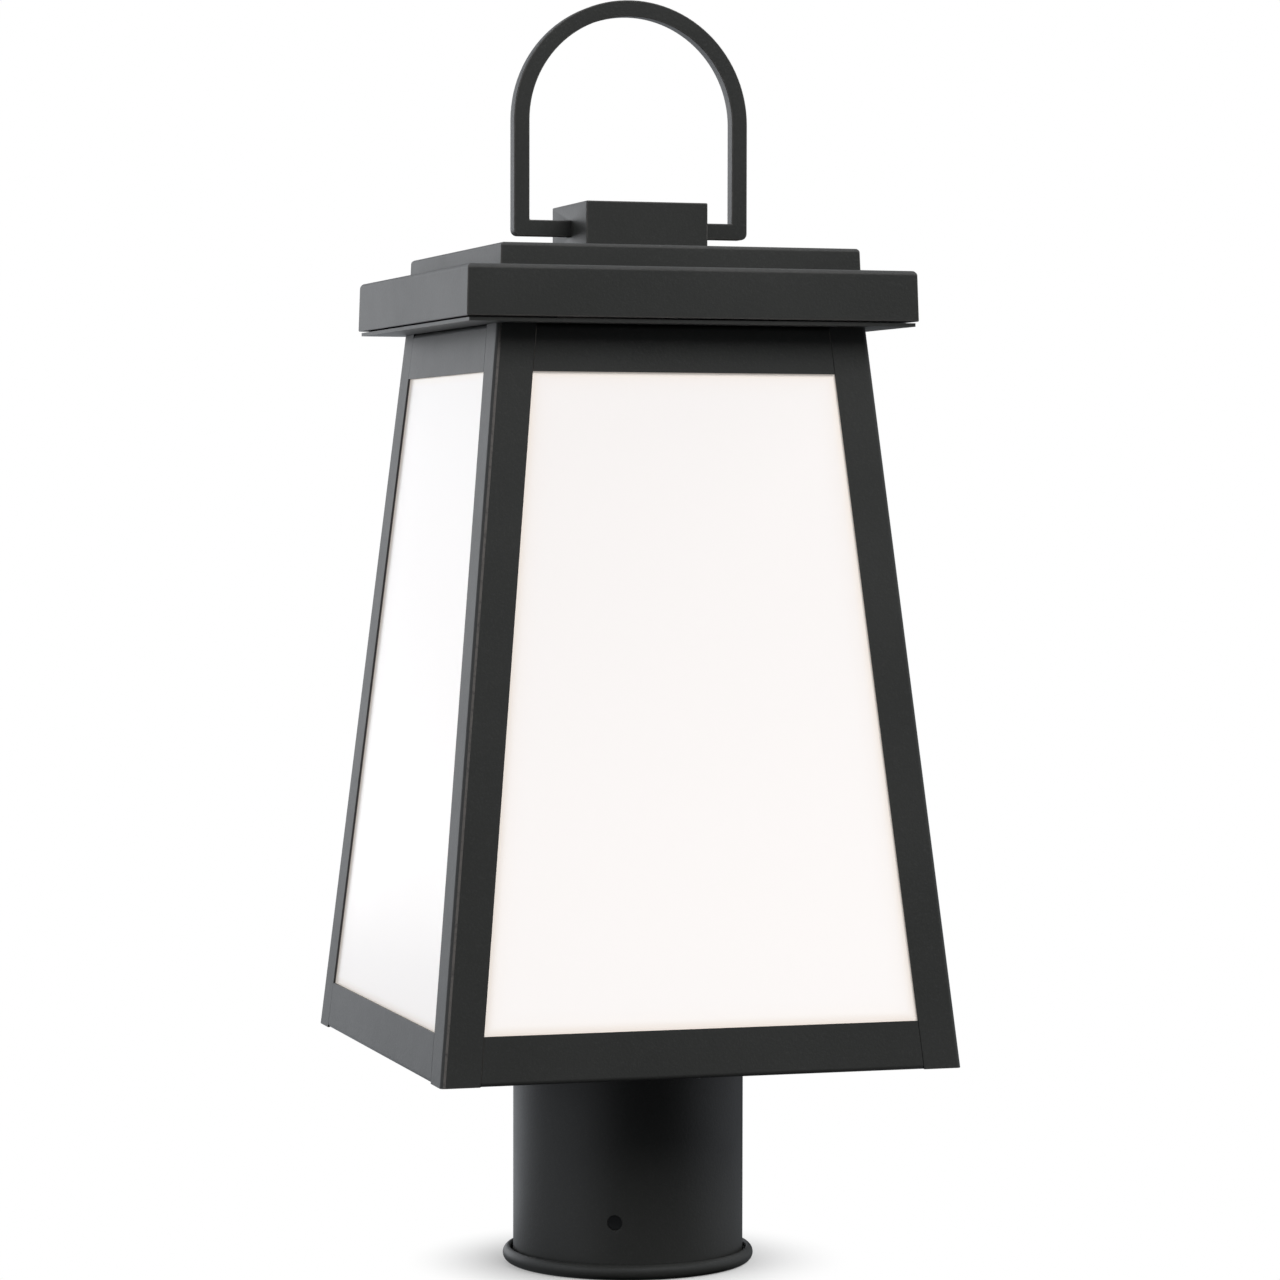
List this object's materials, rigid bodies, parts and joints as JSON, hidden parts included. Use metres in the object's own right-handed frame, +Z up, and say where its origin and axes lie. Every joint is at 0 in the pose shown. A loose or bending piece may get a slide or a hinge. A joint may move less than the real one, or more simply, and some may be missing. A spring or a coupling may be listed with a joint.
{
  "type": "post top lantern",
  "caption": "Black post top lantern: tapered square cage with opal glass panes, stepped flat roof with a square bar loop, round post sleeve.",
  "frame": {"origin": "centre of the sleeve axis at the foot of the rolled rim", "axes": "+Z up along the post axis, -Y towards the front pane, +X to the right seen from the front"},
  "size_m": [0.1818, 0.1818, 0.4425],
  "materials": {
    "black_powder_coat": "satin powder coat",
    "opal_glass": "opal white, satin",
    "zinc_plated_steel": "bright zinc plate",
    "black_screws": "black oxide, satin",
    "white_holder_metal": "white enamel, semi gloss",
    "white_porcelain": "glazed",
    "brass": "pressed, bright",
    "bulb_cap_nickel": "rolled thread, bright",
    "bulb_glass": "soft white coated",
    "green_screw": "green lacquer"
  },
  "bodies": {
    "cage": {"post_sleeve": "black_powder_coat", "bottom_pan": "black_powder_coat", "sleeve_bolts": "zinc_plated_steel", "sleeve_nuts": "zinc_plated_steel", "corner_post_back_right": "black_powder_coat", "corner_post_back_left": "black_powder_coat", "corner_post_front_left": "black_powder_coat", "corner_post_front_right": "black_powder_coat", "bottom_rail_front": "black_powder_coat", "bottom_rail_right": "black_powder_coat", "bottom_rail_back": "black_powder_coat", "bottom_rail_left": "black_powder_coat", "top_rail_front": "black_powder_coat", "top_rail_right": "black_powder_coat", "top_rail_back": "black_powder_coat", "top_rail_left": "black_powder_coat", "glass_front": "opal_glass", "glass_right": "opal_glass", "glass_back": "opal_glass", "glass_left": "opal_glass", "glass_clips_low": "zinc_plated_steel", "glass_clips_top": "zinc_plated_steel", "clip_screws": "zinc_plated_steel", "soffit_plate": "black_powder_coat", "roof_screws": "black_screws", "stem_pipe": "zinc_plated_steel", "stem_nuts": "zinc_plated_steel", "stem_washers": "zinc_plated_steel", "stem_spacer": "white_holder_metal", "holder_cup": "white_holder_metal", "holder_body": "white_porcelain", "screw_shell": "brass", "centre_contact": "brass", "earth_screw": "green_screw"},
    "roof": {"roof_pan": "black_powder_coat", "roof_step": "black_powder_coat", "roof_feet": "black_powder_coat", "loop_block": "black_powder_coat", "block_bolts": "zinc_plated_steel", "carry_loop": "black_powder_coat", "loop_lock_screws": "black_screws"},
    "bulb": {"bulb_base": "bulb_cap_nickel", "bulb_globe": "bulb_glass"}
  },
  "joints": [
    {"name": "roof_lift", "type": "slide", "parent": "cage", "child": "roof", "axis": [0, 0, 1], "range_m": [0, 0.15]},
    {"name": "bulb_lift", "type": "slide", "parent": "cage", "child": "bulb", "axis": [0, 0, 1], "range_m": [0, 0.04]}
  ]
}
